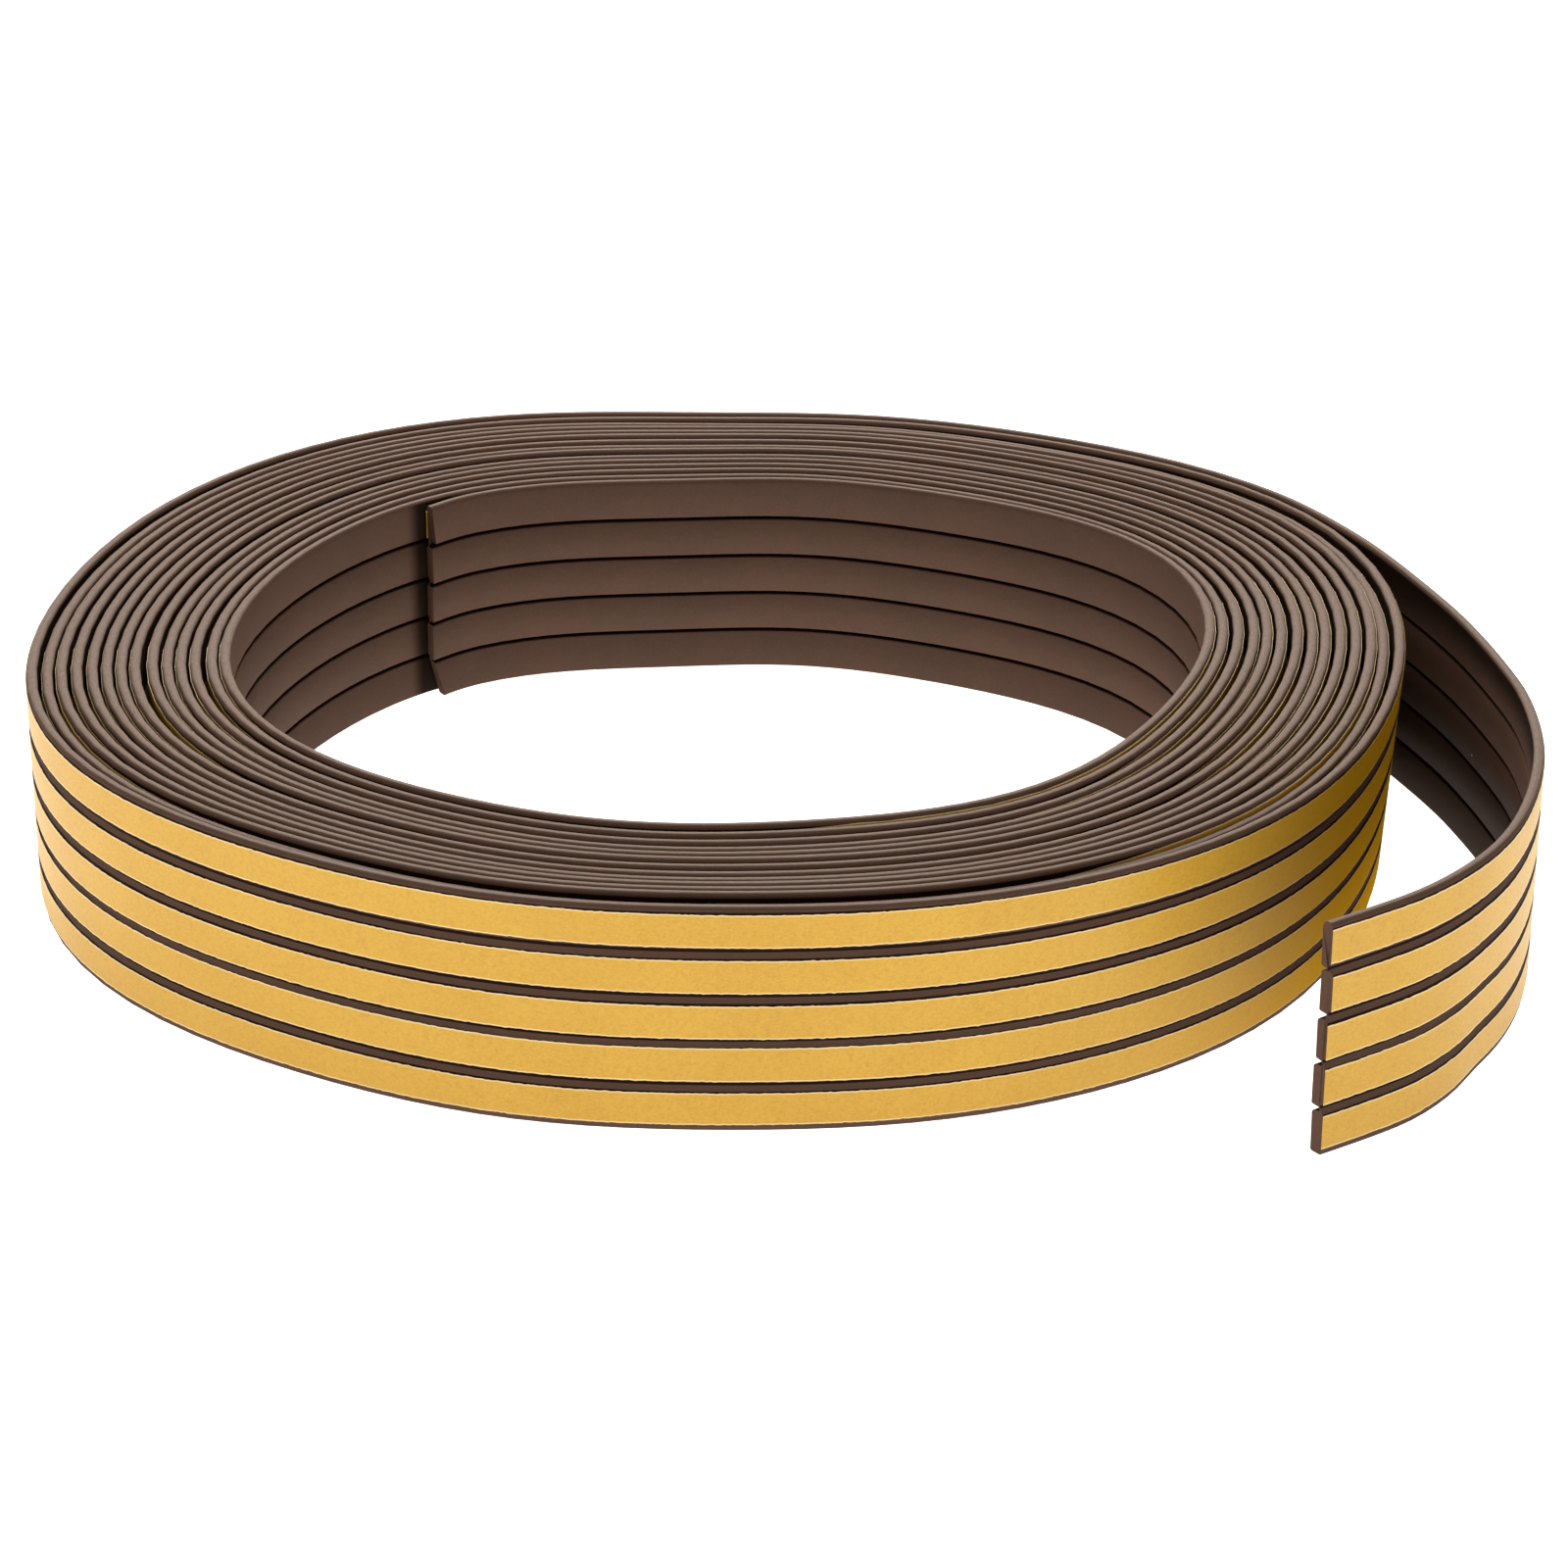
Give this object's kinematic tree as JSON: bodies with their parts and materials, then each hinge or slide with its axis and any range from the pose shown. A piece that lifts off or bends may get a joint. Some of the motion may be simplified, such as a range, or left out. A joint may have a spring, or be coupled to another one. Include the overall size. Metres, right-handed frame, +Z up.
{
  "type": "epdm foam seal tape",
  "caption": "Coil of brown foam seal tape lying flat, of I-profile strips joined side by side, with yellow release liners on its outer face, an open oval bore and a loose tail.",
  "frame": {"origin": "centre of the footprint's bounding box, on the level surface that the coil rests on", "axes": "+X along the coil's long side, towards the loose tail; +Y towards the coil's rear, where the inner end is; +Z up along the winding's axis"},
  "size_m": [0.2762, 0.194, 0.045],
  "materials": {
    "epdm_foam": "matte, fine-celled foam skin",
    "release_paper": "yellow release paper, soft sheen"
  },
  "bodies": {
    "root": {"foam_tape": "epdm_foam", "liner_1": "release_paper", "liner_2": "release_paper", "liner_3": "release_paper", "liner_4": "release_paper", "liner_5": "release_paper"}
  },
  "joints": []
}
